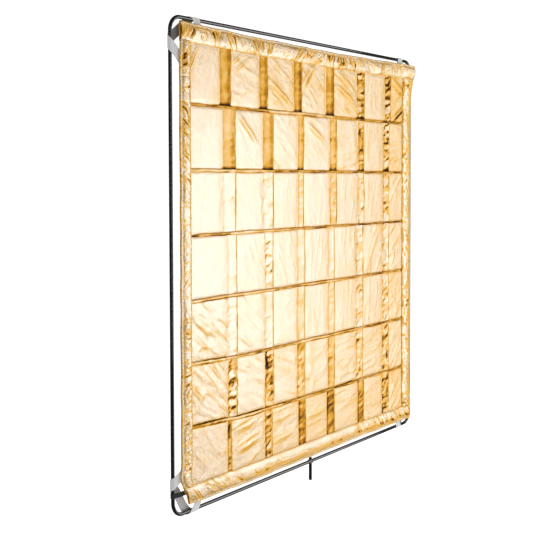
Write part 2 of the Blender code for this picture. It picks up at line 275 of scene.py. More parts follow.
def store(mesh, name, values):
    """Keep one number for each point, for a material to read."""
    layer = mesh.attributes.new(name, "FLOAT", "POINT")
    layer.data.foreach_set("value", values.astype(np.float32).ravel())


def sheet_mesh(name, x, y, z, tone, closed=False):
    """A grid of points as one smooth sheet; closed joins the last column to the first."""
    if not closed:
        x, y, z, tone = crisp(x), crisp(y), crisp(z), crisp(tone)
    rows, columns = x.shape
    points = np.stack([x, y, z], -1).reshape(-1, 3)
    index = np.arange(rows * columns).reshape(rows, columns)
    if closed:
        index = np.concatenate([index, index[:, :1]], axis=1)
    corners = [index[:-1, :-1], index[:-1, 1:], index[1:, 1:], index[1:, :-1]]
    quads = np.stack(corners, -1).reshape(-1, 4)
    mesh = bpy.data.meshes.new(name)
    mesh.from_pydata(points.tolist(), [], quads.tolist())
    mesh.shade_smooth()
    store(mesh, "tone", np.clip(tone, 0, 1))
    return add_object(name, mesh)


def turns_of(sides):
    return [2 * math.pi * k / sides for k in range(sides)]


def rows_mesh(name, rows, closed=False):
    """Rows of points as one smooth sheet of full brightness."""
    x, y, z = np.moveaxis(np.array(rows), -1, 0)
    return sheet_mesh(name, x, y, z, np.ones(x.shape), closed)


def thicken(obj, thickness, offset):
    solid = obj.modifiers.new("cloth", "SOLIDIFY")
    solid.thickness = thickness
    solid.offset = offset


def put(obj, mat, body):
    obj.data.materials.append(mat)
    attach(obj, body)


# ---- Materials ----
def grey(level):
    return (level, level, level)


class Nodes:
    """A small helper that adds and links shader nodes."""

    def __init__(self, name):
        self.material = bpy.data.materials.new(name)
        self.material.use_nodes = True
        self.tree = self.material.node_tree
        self.shader = self.tree.nodes["Principled BSDF"]

    def add(self, kind, **settings):
        node = self.tree.nodes.new(kind)
        for key, value in settings.items():
            if key in node.inputs:
                node.inputs[key].default_value = value
            else:
                setattr(node, key, value)
        return node

    def link(self, source, target):
        self.tree.links.new(source, target)

    def drive(self, socket, source):
        self.link(source, self.shader.inputs[socket])

    def place(self, stretch=(1, 1, 1)):
        """Object coordinates in metres, stretched along each axis."""
        where = self.add("ShaderNodeTexCoord")
        mapping = self.add("ShaderNodeMapping", Scale=stretch)
        self.link(where.outputs["Object"], mapping.inputs["Vector"])
        return mapping.outputs["Vector"]

    def noise(self, scale, detail=3.0, stretch=(1, 1, 1)):
        node = self.add("ShaderNodeTexNoise", Scale=scale, Detail=detail)
        self.link(self.place(stretch), node.inputs["Vector"])
        return node.outputs["Fac"]

    def wave(self, scale, axis, distortion=0.0):
        node = self.add("ShaderNodeTexWave", Scale=scale, Distortion=distortion, bands_direction=axis)
        self.link(self.place(), node.inputs["Vector"])
        return node.outputs["Fac"]

    def maths(self, operation, a, b):
        node = self.add("ShaderNodeMath", operation=operation)
        for socket, value in zip(node.inputs, (a, b)):
            if isinstance(value, (int, float)):
                socket.default_value = value
            else:
                self.link(value, socket)
        return node.outputs[0]

    def ramp(self, value, stops):
        node = self.add("ShaderNodeValToRGB")
        colours = node.color_ramp.elements
        while len(colours) < len(stops):
            colours.new(0.5)
        for element, (place, colour) in zip(colours, stops):
            element.position = place
            element.color = (*colour, 1)
        self.link(value, node.inputs["Fac"])
        return node.outputs["Color"]

    def between(self, value, low, high):
        node = self.add("ShaderNodeMapRange", **{"To Min": low, "To Max": high})
        self.link(value, node.inputs["Value"])
        return node.outputs["Result"]

    def bump(self, layers):
        """Bump layers as (height, distance) pairs, each on top of the one before."""
        normal = None
        for height, distance in layers:
            node = self.add("ShaderNodeBump", Distance=distance, Strength=1.0)
            self.link(height, node.inputs["Height"])
            if normal is not None:
                self.link(normal, node.inputs["Normal"])
            normal = node.outputs["Normal"]
        self.drive("Normal", normal)

    def set(self, **values):
        for key, value in values.items():
            self.shader.inputs[key.replace("_", " ")].default_value = value


# The gold cloth's colour and gloss by its tone, which holds painted light and shade, and its even tone on
# the side that faces away.
GOLD_STOPS = (
    (0.00, (0.010, 0.004, 0.0006)),
    (0.10, (0.061, 0.019, 0.0008)),
    (0.20, (0.205, 0.070, 0.0020)),
    (0.30, (0.402, 0.168, 0.0060)),
    (0.40, (0.610, 0.288, 0.014)),
    (0.50, (0.760, 0.410, 0.050)),
    (0.65, (0.800, 0.458, 0.070)),
    (0.85, (0.785, 0.460, 0.085)),
    (1.00, (0.785, 0.475, 0.125)),
)
GLOSS_STOPS = ((0.42, grey(0)), (0.62, grey(0.24)), (0.84, grey(0.88)), (0.95, grey(1)))
BACK_TONE = 0.62
BACK_SHARE = 0.85


def gold_cloth(name, shift=0.0):
    """Lame: orange-gold film under a pale gloss. The tone on the mesh, which holds painted light and
    shade, sets both.
    """
    n = Nodes(name)
    tone = n.add("ShaderNodeAttribute", attribute_name="tone").outputs["Fac"]
    axes = n.add("ShaderNodeSeparateXYZ")
    n.link(n.add("ShaderNodeTexCoord").outputs["Normal"], axes.inputs[0])
    facing = {"From Min": -0.1, "From Max": 0.5}
    behind = n.add("ShaderNodeMapRange", interpolation_type="SMOOTHSTEP", **facing)
    n.link(axes.outputs["Y"], behind.inputs["Value"])
    keep = n.maths("SUBTRACT", 1.0, n.maths("MULTIPLY", behind.outputs["Result"], BACK_SHARE))
    beyond = n.maths("MULTIPLY", n.maths("SUBTRACT", tone, BACK_TONE), keep)
    tone = n.maths("ADD", beyond, BACK_TONE)
    mottle = n.between(n.noise(90, 4), -0.05, 0.05)
    thread = n.between(n.noise(900, 2, (1, 1, 0.12)), -0.03, 0.03)
    total = n.maths("ADD", n.maths("ADD", tone, mottle), n.maths("ADD", thread, shift))
    n.drive("Base Color", n.ramp(total, GOLD_STOPS))
    n.drive("Coat Weight", n.ramp(total, GLOSS_STOPS))
    n.drive("Coat Roughness", n.between(n.noise(140, 3), 0.17, 0.29))
    n.drive("Roughness", n.between(n.noise(140, 3), 0.40, 0.55))
    n.set(Metallic=0.3, Specular_IOR_Level=0.1, Coat_IOR=5.3)
    n.bump([(n.noise(260, 4), 0.0003), (n.wave(420, "Z", 0.4), 0.00006)])
    n.drive("Coat Normal", n.shader.inputs["Normal"].links[0].from_socket)
    return n.material


def enamel():
    """Gloss black enamel with a faint orange-peel surface and small dull marks."""
    n = Nodes("black_enamel_finish")
    speck = n.ramp(n.noise(700, 5), ((0.0, grey(0.004)), (0.62, grey(0.006)), (0.80, grey(0.02))))
    n.drive("Base Color", speck)
    n.drive("Roughness", n.between(n.noise(300, 4), 0.22, 0.36))
    n.set(Specular_IOR_Level=0.05, Coat_Weight=1.0, Coat_IOR=1.8, Coat_Roughness=0.03)
    n.bump([(n.noise(500, 2), 0.00002)])
    return n.material


def weld_metal():
    """Painted weld with bare bright streaks on its ripples."""
    n = Nodes("weld_finish")
    paint_to_bare = ((0.40, (0.03, 0.03, 0.032)), (0.55, (0.35, 0.34, 0.33)), (0.72, (0.7, 0.69, 0.67)))
    n.drive("Base Color", n.ramp(n.noise(420, 4), paint_to_bare))
    n.drive("Roughness", n.between(n.noise(600, 3), 0.2, 0.42))
    n.set(Metallic=0.7)
    n.bump([(n.noise(900, 3), 0.0001)])
    return n.material


def woven(name, dark, light, sheen):
    """Woven tape: ribs across it in its own coordinates, a little fuzz, and painted shade from the tone on
    the mesh.
    """
    n = Nodes(name)
    rib = n.add("ShaderNodeAttribute", attribute_name="rib").outputs["Fac"]
    fuzz = n.noise(800, 4)
    mix = n.maths("ADD", n.maths("MULTIPLY", rib, 0.35), n.maths("MULTIPLY", fuzz, 0.5))
    painted_shade = n.add("ShaderNodeAttribute", attribute_name="tone").outputs["Fac"]
    mix = n.maths("MULTIPLY", n.maths("ADD", mix, 0.3), painted_shade)
    n.drive("Base Color", n.ramp(mix, ((0.0, dark), (1.0, light))))
    n.set(Roughness=0.85, Sheen_Weight=sheen, Sheen_Roughness=0.5)
    n.bump([(fuzz, 0.00015)])
    return n.material


def thread(name, colour):
    n = Nodes(name)
    twist = n.wave(1400, "DIAGONAL", 1.0)
    low = tuple(c * 0.6 for c in colour)
    n.drive("Base Color", n.ramp(twist, ((0.2, low), (0.9, colour))))
    n.set(Roughness=0.5, Metallic=0.2)
    n.bump([(twist, 0.00005)])
    return n.material


# ---- The skin's outline ----
def drape(x, y, z):
    """Move a point of the flat skin to where the straps and the hems' gathers pull it."""
    near_left = 1 - step(0.0, 0.12, x - LEFT)
    near_right = 1 - step(0.0, 0.10, RIGHT - x)
    near_top = 1 - step(0.0, 0.13, TOP - z)
    near_bottom = 1 - step(0.0, 0.13, z - BOTTOM)
    # The bottom left corner is drawn in, below where the strap pulls the hem out.
    drawn_in = (1 - step(0.0, 0.075, z - BOTTOM)) * near_left
    pulled_out = bell(z - BOTTOM - 0.072, 0.022) * near_left
    dx = 0.027 * drawn_in - 0.0065 * pulled_out + 0.004 * near_left * near_top
    # The top right corner stands forward and outward like an ear.
    ear = (1 - step(0.0, 0.075, RIGHT - x)) * (1 - step(0.0, 0.140, TOP - z))
    dx = dx + 0.020 * ear
    dy = -0.0064 * ear
    # The right edge is drawn out towards the bar, and the top and bottom edges sag.
    dx = dx + 0.0040 * near_right * (1 - near_top)
    dx = dx + 0.0012 * noise(z / 0.05, z * 0, 11) * (near_left + near_right)
    across = (x - LEFT) / (RIGHT - LEFT)
    top_sag = 0.003 - 0.0068 * np.sin(np.pi * np.clip((across - 0.05) / 0.95, 0, 1))
    bottom_sag = 0.0012 * np.cos(across * 9.0) - 0.0018 * across
    dz = top_sag * near_top + bottom_sag * near_bottom
    dz = dz + 0.0012 * noise(x / 0.045, x * 0, 12) * (near_top + near_bottom)
    dz = dz - 0.002 * ear
    # Two row lines rise towards the left hem.
    low_left = 1 - step(0.02, 0.30, x - LEFT)
    dz = dz + low_left * (0.012 * bell(z - ROW_LINES[0], 0.05) + 0.006 * bell(z - ROW_LINES[1], 0.05))
    return x + dx, y + dy, z + dz


def row_of(z):
    """Row number from the top, 1 to 7."""
    return ROWS - np.searchsorted(ROW_LINES, z)


def gap_edges(gap, z):
    """Left and right edge of a gap at each height, changing quickly at the row lines."""
    left = np.full_like(z, GAPS[gap][-1][0])
    right = np.full_like(z, GAPS[gap][-1][1])
    for group in range(len(GAP_GROUPS) - 2, -1, -1):
        line = ROW_LINES[ROWS - 1 - GAP_GROUPS[group]]
        above = step(line - 0.006, line + 0.006, z)
        left = left * (1 - above) + GAPS[gap][group][0] * above
        right = right * (1 - above) + GAPS[gap][group][1] * above
    left = left + 0.0016 * noise(z / 0.07, z * 0 + gap, 21) + 0.0006 * noise(z / 0.02, z * 0, 22)
    right = right + 0.0016 * noise(z / 0.08, z * 0 + gap, 23)
    return left, right


def line_distance(z):
    """Signed distance to the nearest row line, positive above it, and that line's number."""
    lines = np.array(ROW_LINES)
    gaps = z[..., None] - lines
    nearest = np.abs(gaps).argmin(-1)
    return np.take_along_axis(gaps, nearest[..., None], -1)[..., 0], ROWS - 2 - nearest


def cell_value(table, z, column):
    """A table's value at each height in one column, changing quickly at the row lines."""
    value = np.full_like(z, float(table[ROWS - 1][column]))
    for row in range(ROWS - 2, -1, -1):
        line = ROW_LINES[ROWS - 2 - row]
        above = step(line - 0.004, line + 0.004, z)
        value = value * (1 - above) + float(table[row][column]) * above
    return value


def patch_wrinkles(x, z, column):
    """Wrinkle height and fine grain in one upright ribbon, each patch with its own lean."""
    height = np.zeros_like(x)
    grain = np.zeros_like(x)
    row = row_of(z)
    for r in range(1, ROWS + 1):
        inside = row == r
        lean, size = PATCH_WRINKLES[r - 1][column]
        seed = 100 + r * 10 + column
        broad = crest(streaks(x, z, lean, 0.026, 0.090, seed))
        fine = streaks(x, z, lean + 12, 0.0085, 0.030, seed + 200)
        height[inside] = (size * MM * (0.8 * broad + 0.5 * fine))[inside]
        grain[inside] = streaks(x, z, lean, 0.0065, 0.080, seed + 400)[inside]
    return height, grain


def patch_folds(x, z, column, width):
    """The single strong folds of one upright ribbon, and how shaded the cloth is beside them."""
    height = np.zeros_like(x)
    shaded = np.zeros_like(x)
    row = row_of(z)
    middle = x.mean(1, keepdims=True)
    for r, c, start, end, spread, size in FOLDS:
        if c != column + 1:
            continue
        upper = ROW_LINES[ROWS - r] if r > 1 else SEAM_TOP
        ends = [((u - 0.5) * width, upper - v * ROW_PITCH) for u, v in (start, end)]
        ridge, flank = fold(x - middle, z, *ends, spread * MM)
        height += np.where(row == r, ridge * size * MM, 0)
        shaded += np.where(row == r, flank * min(size / 3, 1), 0)
    return height, shaded


# ---- Ribbons ----
def seam_fade(x, z):
    """0 under the hems and 1 in the open, so that ribbons pass flat beneath the hems."""
    under, clear = 0.004, 0.010
    sides = step(SEAM_LEFT - under, SEAM_LEFT + clear, x) * step(SEAM_RIGHT + under, SEAM_RIGHT - clear, x)
    ends = step(SEAM_BOTTOM - under, SEAM_BOTTOM + clear, z) * step(SEAM_TOP + under, SEAM_TOP - clear, z)
    return sides * ends


def gold_piece(name, node, x, y, z, tone, thickness=CLOTH_T, offset=-1, mat=None, slot="gold_lame"):
    """One piece of gold cloth in its draped place, standing for a CAD node of the skin."""
    obj = sheet_mesh(name, *drape(x, y, z), tone)
    thicken(obj, thickness, offset)
    put(obj, mat or GOLD, "skin")
    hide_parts(node)
    return obj


def upright_ribbon(column):
    low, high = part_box(f"upright_ribbon_{column + 1}")
    z_line = np.linspace(low.z, high.z, int((high.z - low.z) / FINE))
    left = np.full_like(z_line, SEAM_LEFT - 0.014)
    right = np.full_like(z_line, high.x)
    if column > 0:
        left = gap_edges(column - 1, z_line)[1]
    if column < COLUMNS - 1:
        right = gap_edges(column, z_line)[0]
    width = high.x - low.x
    count = int(width / FINE)
    s = np.linspace(0, 1, count)[None, :]
    x = left[:, None] + (right - left)[:, None] * s
    z = np.repeat(z_line[:, None], count, axis=1)
    away, line = line_distance(z)
    plateau = 1 - np.exp(-np.abs(away) / np.where(away > 0, 0.011, 0.0045))
    crown = 1 - np.abs(2 * s - 1) ** 5
    wrinkles, grain = patch_wrinkles(x, z, column)
    folds, shaded = patch_folds(x, z, column, width)
    fine = 0.00016 * noise(x / 0.006, z / 0.007, 300 + column)
    open_part = seam_fade(x, z)
    height = -0.0022 * bell(away, 0.005) + PILLOW * plateau * crown * open_part
    height += (wrinkles + folds + fine) * (0.15 + 0.85 * plateau) * open_part
    height += EDGE_CURL * np.exp(-s * width / 0.006) * open_part
    height -= 0.0005 * np.exp(-(1 - s) * width / 0.010) * open_part
    height = np.clip(height, -0.0026, 0.0085)
    # Painted light and shade: each patch's brightness, random tone, painted shade on the wrinkles and
    # folds, and painted shade beside the folds.
    tone = cell_value(PATCH_LIGHT_AND_SHADE, z, column)
    tone += 0.05 * noise(x / 0.05, z / 0.06, 310 + column)
    spacing = width / count, z_line[1] - z_line[0]
    tone += 1.4 * shade(wrinkles + fine * 1.4, *spacing, 0.05)
    tone += 1.3 * shade(folds, *spacing, 0.08) - 0.26 * shaded
    # Painted shade in the crease at each row line: a dark line just above it and a softer band below it.
    painted_shade = np.array(LINE_SHADE)[line, column] * (0.8 + 0.5 * noise(x / 0.04, z / 0.08, 330 + column))
    tone -= 0.30 * painted_shade * bell(away + 0.0045, 0.0030)
    tone -= 0.60 * painted_shade * bell(away - 0.0018, 0.0012 + 0.0010 * painted_shade)
    tone += 0.06 * grain + 0.03 * noise(x / 0.006, z / 0.012, 340 + column)
    # Painted shade along both side edges of the ribbon, narrow on the left and wider on the right.
    tone -= 0.08 * np.exp(-s * width / 0.0030) + 0.12 * np.exp(-(1 - s) * width / 0.010)
    tone[:, 0] = np.minimum(tone[:, 0], EDGE_TONE)
    y = UPRIGHT_Y + CLOTH_INSET - height
    names = f"gold_upright_{column + 1}", f"upright_ribbon_{column + 1}"
    obj = gold_piece(*names, x, y, z, tone, RIBBON_T)


def level_ribbon(index):
    low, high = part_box(f"level_ribbon_{index + 1}")
    row = ROWS - 1 - index
    middle = (low.z + high.z) / 2
    bottom = middle - LEVEL_WIDTH / 2
    top = middle + LEVEL_WIDTH / 2
    rows = int((top - bottom) / COARSE)
    columns = int((high.x - low.x) / COARSE)
    x, z = np.meshgrid(np.linspace(low.x, high.x, columns), np.linspace(bottom, top, rows))
    window = np.zeros_like(x)
    core = np.zeros_like(x)
    tone = np.full_like(x, 0.78)
    size = np.full_like(x, 0.6)
    for gap in range(COLUMNS - 1):
        left, right = gap_edges(gap, z[:, :1])
        inside = step(left - 0.003, left + 0.003, x) * step(right + 0.003, right - 0.003, x)
        near = step(left - 0.009, left - 0.004, x) * step(right + 0.009, right + 0.004, x)
        window = np.maximum(window, near)
        core = np.maximum(core, step(left, left + 0.007, x) * step(right, right - 0.007, x))
        place = np.clip((x - left) / (right - left), 0, 1)
        # Painted light and shade in each gap: the row's brightness, lighter in the middle and darker
        # towards the right, with painted shade along both borders; in the top two rows the left part is
        # painted lighter and the right darker.
        strip = STRIP_LIGHT_AND_SHADE[row][gap] + 0.05 * np.sin(np.pi * place) - 0.06 * step(0.6, 1.0, place)
        strip = strip - 0.16 * bell(x - left - 0.005, 0.005)
        strip = strip - np.clip(strip - 0.50, 0, 0.35) * bell(right - x, 0.0045)
        if row < 2:
            strip = strip - 0.10 * step(0.55, 0.75, place) + 0.10 * step(0.35, 0.05, place)
        tone = tone * (1 - inside) + strip * inside
        size = size * (1 - inside) + STRIP_WRINKLES[row][gap] * inside
    short = streaks(x, z, 6, 0.009, 0.055, 400 + index)
    slant = streaks(x, z, 35, 0.009, 0.024, 420 + index)
    rough = size * MM * (0.9 * crest(short) + 0.6 * slant)
    open_part = seam_fade(x, z)
    under = np.abs(rough) * 1.8 + 0.0012
    height = (core * rough * 0.9 + (window - core) * 0.0007 - (1 - window) * under) * open_part
    joined = step(0.0, 0.006, z - bottom) * step(0.0, 0.006, top - z)
    height = np.clip(height, -0.0030, 0.0016) * joined - 0.0008 * (1 - joined)
    # Painted light and shade on the wrinkles, and patches of painted deep shade where the wrinkles are
    # large.
    tone = tone + 2.0 * shade(core * rough, COARSE, COARSE)
    deep = np.clip(1.15 - tone, 0.1, 0.6)
    tone += size * core * (0.16 * np.clip(short * 2, -1, 1) + 0.10 * slant)
    blobs = step(0.46, 0.66, streaks(x, z, 5, 0.010, 0.022, 460 + index)) * (size > 0.8)
    tone -= 0.7 * deep * core * blobs
    tone += 0.05 * noise(x / 0.02, z / 0.03, 440 + index)
    tone += 0.05 * noise(x / 0.005, z / 0.009, 450 + index)
    # Painted shade along the foot of the gaps in the top two rows.
    if row < 2:
        tone -= 0.5 * window * (1 - step(0.004, 0.012, z - bottom))
    y = LEVEL_Y + CLOTH_INSET - height
    obj = gold_piece(f"gold_level_{index + 1}", f"level_ribbon_{index + 1}", x, y, z, tone)


def row_tape(index):
    """A narrow tape in a valley, wide where it lies over the ribbons and drawn thin elsewhere."""
    low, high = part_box(f"row_tape_{index + 1}")
    x_line = np.linspace(low.x, high.x, int((high.x - low.x) / 0.003))
    v, x = np.meshgrid(np.linspace(0, 1, 9), x_line)
    middles = np.linspace(low.x, high.x, COLUMNS * 2 + 1)[1::2]
    wide = np.interp(x, middles, TAPE_SHOWN[ROWS - 2 - index])
    wide = np.clip(wide + 0.25 * noise(x / 0.03, x * 0 + index, 500 + index), 0.05, 1)
    width = 0.0030 + 0.0055 * wide
    lift = 0.0010 * wide + 0.0004 * noise(x / 0.03, x * 0, 510 + index)
    z = ROW_LINES[index] - 0.001 + width * (v - 0.5)
    z += 0.0010 * noise(x / 0.06, x * 0, 520 + index)
    height = lift + 0.0012 * np.sin(np.pi * v) + 0.0004 * noise(x / 0.006, v * 2, 530)
    # Painted light and shade on the tape: a highlight along its upper middle where it lies wide, shade
    # where it is drawn thin, random tone, and darker stretches along it, most on its lower side.
    tone = 0.50 + 0.40 * bell(v - 0.62, 0.19) * wide
    tone = tone + 0.14 * noise(x / 0.012, v * 2 + index, 540) - 0.25 * (1 - wide)
    tone -= 0.30 * step(0.15, 0.55, noise(x / 0.045, x * 0 + index, 550)) * (1 - v * 0.6)
    y = TAPE_Y + 0.0006 - height * seam_fade(x, z)
    names = f"gold_tape_{index + 1}", f"row_tape_{index + 1}"
    gold_piece(*names, x, y, z, tone, mat=TAPE, slot="gold_tape")


# ---- Hems ----
# For each hem: seed, pleat height in mm, painted brightness (how strongly it catches the light), how much
# painted light and shade its fine crinkles get, and the pleats' lean in degrees and strength at even steps
# along it.
HEMS = {
    "hem_top": (601, 2.2, 0.93, 0.16, (35, -30, 15, 40, -15, 20, 25), (1, 1, 1, 1, 0.9, 0.7, 0.5)),
    "hem_bottom": (602, 1.5, 0.90, 0.06, (40, 50, 10, 30, 20, 35, 30), (1, 0.8, 0.1, 0.1, 0.3, 0.8, 1)),
    "hem_left": (603, 1.8, 0.95, 0.26, (20, -25, 15, -30, 30, 40, -40), (1, 0.7, 0.5, 0.55, 0.6, 0.9, 1)),
    "hem_right": (604, 1.6, 0.86, 0.38, (20, -30, 25, -20, 30, -30, 20), (0.5, *(0.4,) * 4, 0.5, 0.6)),
}
HEM_EDGE = 0.007  # outer fold to the outer row of stitches
HEM_LIP = 0.0025  # seam stitches to the hem's inner edge
HEM_LAP = 0.003  # how far the side hems run on under the top and bottom ones
HEM_TONE_TOP = 0.93  # brightest tone of a hem
HEM_TONE_BACK = 0.72
STITCH_DIP = 0.0014  # half width of the dip that stitches draw
STITCH_PITCH, STITCH_LENGTH, STITCH_R, STITCH_SIDES = 0.0042, 0.0030, 0.00028, 6


def hem_section(width):
    """Points round a folded hem in section: (distance in from the fold, forward share)."""
    fold_r = (HEM_BACK - HEM_FRONT) / 2
    back = [(d, 0.0) for d in np.linspace(width, fold_r, 9)]
    angles = np.linspace(0, math.pi, 8)[1:-1]
    turn = [(fold_r * (1 - math.sin(t)), 0.5 - 0.5 * math.cos(t)) for t in angles]
    front = [(d, 1.0) for d in np.linspace(fold_r, width, int(width / HEM_STEP))]
    return np.array(back + turn + front)


def hem(name, edge, seam, start, end, upright):
    seed, size, bright, fine, leans, strengths = HEMS[name]
    width = abs(seam - edge)
    inward = 1 if seam > edge else -1
    section = hem_section(width)
    run = np.linspace(start, end, int((end - start) / HEM_RUN_STEP))
    spacing = run[1] - run[0]
    depth, along = np.meshgrid(section[:, 0], run)
    forward = np.repeat(section[None, :, 1], len(run), axis=0)
    # Pleats start at the outer stitches and fade across the hem; crinkles gather between them.
    pitch = 0.0115 if upright else 0.0150
    turns = np.interp(along, np.linspace(start, end, len(leans)), leans)
    strong = np.interp(along, np.linspace(start, end, len(strengths)), strengths)
    slant = along + depth * np.tan(np.radians(turns + 14 * noise(along / 0.06, along * 0, seed)))
    slant = slant + 0.0018 * noise(along / 0.02, depth / 0.018, seed + 6)
    pleat = noise(slant / pitch, depth / 0.070, seed + 1)
    crinkle = noise(slant / 0.0075, depth / 0.010, seed + 2)
    broad = noise(slant / (3.2 * pitch), depth / 0.050, seed + 3)
    patchy = 0.95 + 0.5 * noise(along / 0.05, along * 0 + 3, seed + 4)
    inner = np.clip((depth - HEM_EDGE) / (width - HEM_EDGE - HEM_LIP), 0, 1)
    bulge = np.sin(np.pi * inner) ** 0.6
    near_fold = 1 - 0.6 * step(0.25, 1.0, inner)
    creases = crease_line(pleat + 0.2, spacing, 0.0018) * near_fold
    small = crease_line(crinkle + 0.15, spacing, 0.0013)
    gather = (0.5 - 1.7 * strong * creases - 0.8 * small + 1.0 * broad) * patchy * size * MM
    rough = gather * (0.30 + 0.70 * bulge)
    stitch = bell(depth - HEM_EDGE, STITCH_DIP) + bell(depth - width + HEM_LIP, STITCH_DIP)
    front = step(0.6, 0.95, forward)
    height = np.clip((0.0024 * bulge + rough - 0.0007 * stitch) * front, -0.0004, 0.0072)
    height -= 0.0016 * step(width - 0.007, width, depth) * front
    back_rough = -0.35 * np.abs(gather) * (1 - step(0.05, 0.4, forward)) * bulge
    y = HEM_BACK + (HEM_FRONT - HEM_BACK) * forward - height - back_rough
    some = step(-0.9, 0.1, noise(slant / 0.03, depth / 0.02, seed + 7))
    if upright:
        change = shade(rough, HEM_STEP * inward, spacing)
    else:
        change = shade(rough.T, spacing, HEM_STEP * inward).T
    # Painted light and shade: the hem's brightness, shade on its slopes, and lighter and darker bands
    # across the pleats and crinkles.
    tone = bright + 0.8 * change + 0.14 * strong * np.clip(pleat * 2, -1, 1) * near_fold
    tone += fine * crinkle
    # Painted shade lies in dark strokes along the pleats; some are deeper, and most end before the seam.
    stroke = noise(slant / (0.42 * pitch), depth / 0.045, seed + 8)
    sharp = step(0.05, 0.45, stroke) * step(0.0, 0.12, inner)
    reach = step(1.3, 0.5, inner + 0.6 * noise(slant / pitch, along * 0, seed + 9))
    deeper = 0.55 + 0.9 * np.clip(noise(slant / 0.025, along * 0, seed + 10), -0.4, 1)
    tone -= (0.06 + 0.50 * strong) * sharp * reach * deeper * front
    # Painted shade along the creases of the pleats and crinkles.
    lines = (0.8 * strong * creases + 1.4 * fine * small) * some * patchy
    tone -= 0.40 * lines * step(0.0, 0.1, inner) * front
    # Painted shade: a darker band low in the bottom hem, except near its left end.
    if name == "hem_bottom":
        tone -= 0.34 * bell(inner - 0.28, 0.15) * step(-0.42, -0.30, along) * front
    # Painted shade: the right hem's outer band, by the fold, is painted an even orange, widening towards
    # the top.
    if name == "hem_right":
        limit = 0.14 + 0.30 * step(0.60, 1.00, along)
        outer = step(limit + 0.08, limit - 0.04, inner) * front
        tone = tone * (1 - outer) + (0.70 + 0.05 * pleat) * outer
    # Painted shade in the dips along the stitch lines and along the hem's outer fold.
    tone -= 0.22 * stitch * front
    tone -= 0.30 * bell(depth - 0.0005, 0.0016)
    tone += 0.08 * noise(along / 0.02, depth / 0.02, seed + 5)
    tone = np.minimum(np.where(forward < 0.3, HEM_TONE_BACK, tone), HEM_TONE_TOP)
    tone[:, -1] = np.minimum(tone[:, -1], EDGE_TONE)
    place = edge + inward * depth
    x, z = (place, along) if upright else (along, place)
    obj = gold_piece("gold_" + name, name, x, y, z, tone, offset=0)
    columns = []
    for distance in (HEM_EDGE, width - HEM_LIP):
        columns.append(int((np.abs(depth[0] - distance) + (front[0] < 0.9)).argmin()))
    stitches(name, columns, run, y, place[0], upright)


def stitches(name, columns, run, y, place, upright):
    """Short thread stitches lying in the hem's two sewn lines."""
    sides = STITCH_SIDES
    points = []
    faces = []
    for column in columns:
        for at in np.arange(run[0] + 0.006, run[-1] - 0.006, STITCH_PITCH):
            ring_start = len(points)
            for part, swell, sunk in ((0.0, 0.35, 0.2), (0.2, 1.0, 1), (0.8, 1.0, 1), (1.0, 0.35, 0.2)):
                here = at + (part - 0.5) * STITCH_LENGTH
                centre_y = np.interp(here, run, y[:, column]) - CLOTH_T / 2 - STITCH_R * 0.5 * sunk
                for turn in turns_of(sides):
                    across = place[column] + STITCH_R * swell * math.cos(turn)
                    out = centre_y + STITCH_R * swell * math.sin(turn)
                    points.append((across, out, here) if upright else (here, out, across))
            for ring in range(3):
                for side in range(sides):
                    a = ring_start + ring * sides + side
                    b = ring_start + ring * sides + (side + 1) % sides
                    faces.append((a, b, b + sides, a + sides))
            faces.append(tuple(ring_start + k for k in reversed(range(sides))))
            faces.append(tuple(ring_start + 3 * sides + k for k in range(sides)))
    moved = np.stack(drape(*np.array(points).T), -1)
    mesh = bpy.data.meshes.new(name + "_stitching")
    mesh.from_pydata(moved.tolist(), [], faces)
    mesh.shade_smooth()
    put(add_object(name + "_stitching", mesh), THREAD, "skin")


# ---- Corner straps ----
STRAP_GAP = 0.0003
STRAP_T = 0.0010
STRAP_WIDTH = 0.025
STRAP_STEP = 0.0016  # grid spacing along a strap
STRAP_COLUMNS = 15
STRAP_HEM_Y = -0.0069  # where a strap lies against the hem's back
STRAP_TUCK = 0.016  # how far its end goes in behind the hem
STRAP_EASE = (0.003, 0.012)  # from the bar's centre inward, the stretch where it reaches that Y
WRAP_R = BAR_R + STRAP_GAP + STRAP_T / 2
# Side and level of each corner; for the level bar and then the upright bar, where the strap crosses behind
# it, its lean there and where it meets the skin's edge; its brightness behind, which is painted shade on
# the stretch behind the corner (1 is none).
STRAPS = {
    "top_left": (-1, 1, (0.076, 1.2, 0.095), (0.058, 0.8, 0.092), 0.22),
    "bottom_left": (-1, -1, (0.058, 1.1, 0.085), (0.075, 0.6, 0.0975), 0.80),
    "top_right": (1, 1, (0.064, 1.0, 0.0825), (0.064, 0.9, 0.090), 0.6),
    "bottom_right": (1, -1, (0.066, 1.0, 0.090), (0.064, 0.9, 0.090), 0.6),
}


def wrap(distance, proud):
    """A strap's section round a bar: how far in from the bar's centre, and its Y."""
    if distance < 0:
        return -distance, WRAP_R + proud
    turn = distance / WRAP_R
    radius = WRAP_R + proud
    if turn < math.pi:
        return -radius * math.sin(turn), radius * math.cos(turn)
    inward = distance - math.pi * WRAP_R
    start, end = STRAP_EASE
    share = float(step(start, end, inward))
    return inward, -radius - share * (-STRAP_HEM_Y - WRAP_R)


def strap_leg(place, inset):
    """A strap's run from behind one bar, round it and on to the hem, as flat sections."""
    cross, slope, edge = place
    run = math.pi * WRAP_R + inset
    curve = (edge - cross - slope * run) / (run * run)
    sections = []
    for distance in np.linspace(0, run + STRAP_TUCK, int((run + STRAP_TUCK) / STRAP_STEP)):
        shown = min(distance, run)
        centre = cross + slope * distance + curve * shown * (2 * distance - shown)
        lean = slope + 2 * curve * shown
        half = STRAP_WIDTH / 2 * math.hypot(1, lean)
        sections.append((distance, centre - half, centre + half))
    return sections


